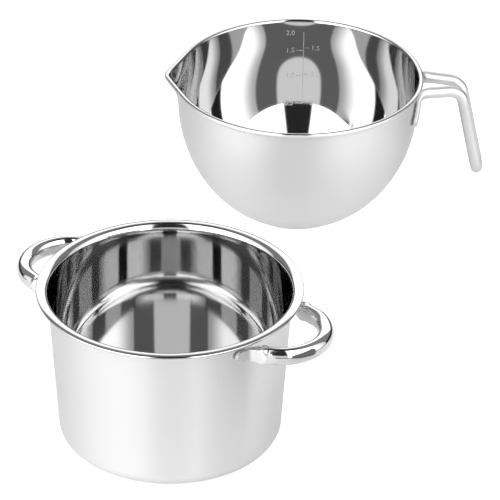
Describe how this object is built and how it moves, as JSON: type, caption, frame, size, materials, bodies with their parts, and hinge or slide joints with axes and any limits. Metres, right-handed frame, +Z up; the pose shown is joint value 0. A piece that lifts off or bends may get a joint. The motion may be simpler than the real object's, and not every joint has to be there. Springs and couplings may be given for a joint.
{
  "type": "chocolate melting pot",
  "caption": "Steel melting set: a deep pot with loop handles holds hot water, and a round-bottomed bowl with a pouring spout and a bent-rod handle hangs in it to melt chocolate.",
  "frame": {"origin": "middle of the pot's base, on the surface that the pot and the bowl stand on", "axes": "+Z up, along the pot's axis; +X from the bowl's spout towards its handle; +Y from the pot towards the bowl"},
  "size_m": [0.3325, 0.4936, 0.113],
  "materials": {
    "polished_steel": "polished stainless steel",
    "satin_steel": "satin stainless steel outside, mirror polish inside the bowl",
    "weld_steel": "dull fused steel"
  },
  "bodies": {
    "pot": {"pot_shell": "polished_steel", "pot_handle_left": "polished_steel", "pot_handle_right": "polished_steel", "pot_weld_left_front": "weld_steel", "pot_weld_left_rear": "weld_steel", "pot_weld_right_front": "weld_steel", "pot_weld_right_rear": "weld_steel"},
    "bowl": {"bowl_shell": "satin_steel", "bowl_handle": "satin_steel", "bowl_weld_front_lower": "weld_steel", "bowl_weld_front_upper": "weld_steel", "bowl_weld_rear_lower": "weld_steel", "bowl_weld_rear_upper": "weld_steel"}
  },
  "joints": [
    {"name": "bowl_lift", "type": "slide", "parent": "pot", "child": "bowl", "axis": [0, 0, 1], "range_m": [0, 0.13]}
  ]
}
